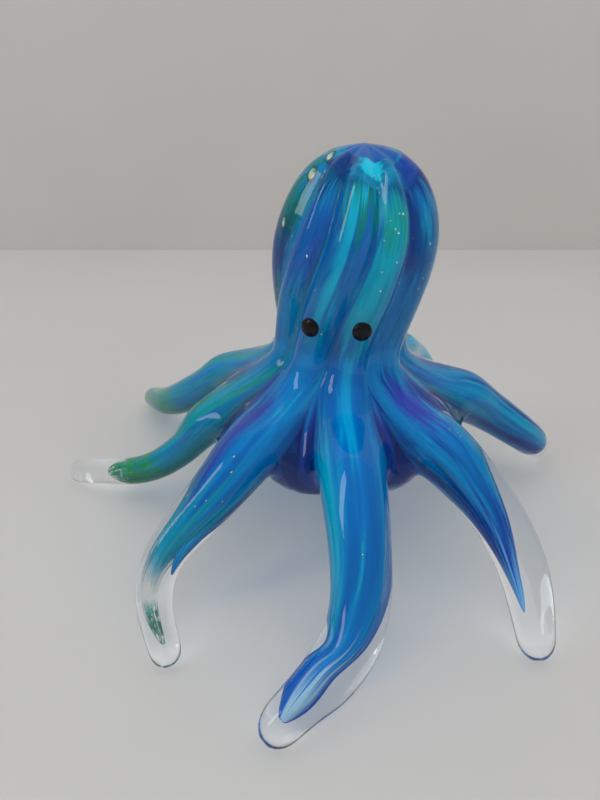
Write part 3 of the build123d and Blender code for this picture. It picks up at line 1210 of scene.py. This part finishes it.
def flat_sheet(name, width, length, place, material):
    """A level or upright sheet of the stage."""
    bm = bmesh.new()
    bmesh.ops.create_grid(bm, x_segments=1, y_segments=1, size=0.5)
    bmesh.ops.scale(bm, vec=(width, length, 1), verts=bm.verts)
    bmesh.ops.transform(bm, matrix=place, verts=bm.verts)
    sheet = put_in_scene(name, mesh_of(name, bm, material))


def matt(name, colour, one_sided=False):
    """A matt stage material; one that is one-sided can't be seen from its back."""
    glaze = Glaze(name)
    place = glaze.add("ShaderNodeTexCoord", output=3)
    cloud = glaze.step(glaze.noise(place, 7.0, detail=4.0), 0.35, 0.7)
    darker = [part * 0.8 for part in colour]
    shade = glaze.mix(cloud * 0.12, (*colour, 1.0), (*darker, 1.0))
    shader = glaze.add("ShaderNodeBsdfPrincipled", None, {"Base Color": shade, "Roughness": 0.6})
    if one_sided:
        back = glaze.add("ShaderNodeNewGeometry", output=6)
        clear = glaze.add("ShaderNodeBsdfTransparent")
        shader = glaze.add("ShaderNodeMixShader", None, {0: back, 1: shader, 2: clear})
    return glaze.show(shader)


def make_room(settings):
    """The table and the wall behind it."""
    table = matt("Table", settings.table)
    wall = matt("Wall", settings.wall, one_sided=True)
    flat_sheet("table", ROOM_WIDTH, ROOM_WIDTH, Matrix.Translation(HUB), table)
    middle = HUB + Vector((0, settings.wall_distance, WALL_HEIGHT / 2))
    upright = Matrix.Translation(middle) @ Matrix.Rotation(pi / 2, 4, "X")
    flat_sheet("wall", ROOM_WIDTH, WALL_HEIGHT, upright, wall)


def make_lamps():
    """The lamps, and the light that comes from all around."""
    for name, (place, width, height, power, colour, mirrored) in LAMPS.items():
        data = bpy.data.lights.new(name, "AREA")
        data.shape, data.size, data.size_y = "RECTANGLE", width, height
        data.energy, data.color = power, tone(colour)[:3]
        lamp = put_in_scene(name, data)
        lamp.location = HUB + Vector(place)
        lamp.rotation_euler = (LAMP_TARGET - lamp.location).to_track_quat("-Z", "Y").to_euler()
        lamp.visible_glossy = mirrored
    world = bpy.data.worlds.new("Room light")
    bpy.context.scene.world = world
    world.use_nodes = True
    back = world.node_tree.nodes["Background"]
    back.inputs[0].default_value = tone(ROOM_LIGHT)
    back.inputs[1].default_value = ROOM_STRENGTH


def make_camera():
    """The camera looks down on the figure from the front."""
    data = bpy.data.cameras.new("camera")
    data.sensor_width, data.lens = CAMERA_SENSOR, CAMERA_LENS
    data.clip_start = 0.01
    camera = put_in_scene("camera", data)
    camera.location = CAMERA_PLACE
    camera.rotation_euler = (radians(CAMERA_TILT), 0, 0)
    bpy.context.scene.camera = camera
    bpy.context.scene.view_settings.view_transform = "Standard"


class OCTOPUS_PT_panel(bpy.types.Panel):
    """Lists the figure's sizes and colours, and the steps that make it"""

    bl_idname = "OCTOPUS_PT_panel"
    bl_label = "Glass octopus"
    bl_space_type = "VIEW_3D"
    bl_region_type = "UI"
    bl_category = "Glass"

    def draw(self, context):
        scene = context.scene
        for group in (scene.octopus_glass, scene.octopus_eyes, scene.octopus_stage):
            box = self.layout.box()
            for name in group.bl_rna.properties.keys():
                if name not in ("rna_type", "name"):
                    box.prop(group, name)
        for operator in OPERATORS:
            self.layout.operator(operator.bl_idname)


OPERATORS = [
    OCTOPUS_OT_casing,
    OCTOPUS_OT_body,
    OCTOPUS_OT_strands,
    OCTOPUS_OT_patches,
    OCTOPUS_OT_bubbles,
    OCTOPUS_OT_eyes,
    OCTOPUS_OT_stage,
]
CLASSES = [GlassSettings, EyeSettings, StageSettings, *OPERATORS, OCTOPUS_PT_panel]


def register():
    """Adds the classes and their settings to the program."""
    for item in CLASSES:
        bpy.utils.register_class(item)
    bpy.types.Scene.octopus_glass = PointerProperty(type=GlassSettings)
    bpy.types.Scene.octopus_eyes = PointerProperty(type=EyeSettings)
    bpy.types.Scene.octopus_stage = PointerProperty(type=StageSettings)


def unregister():
    """Takes them out again."""
    del bpy.types.Scene.octopus_stage
    del bpy.types.Scene.octopus_eyes
    del bpy.types.Scene.octopus_glass
    for item in reversed(CLASSES):
        bpy.utils.unregister_class(item)


def main():
    """Makes every piece."""
    register()
    bpy.ops.octopus.casing()
    bpy.ops.octopus.body()
    bpy.ops.octopus.strands()
    bpy.ops.octopus.patches()
    bpy.ops.octopus.bubbles()
    bpy.ops.octopus.eyes()
    bpy.ops.octopus.stage()


if __name__ == "__main__":
    main()
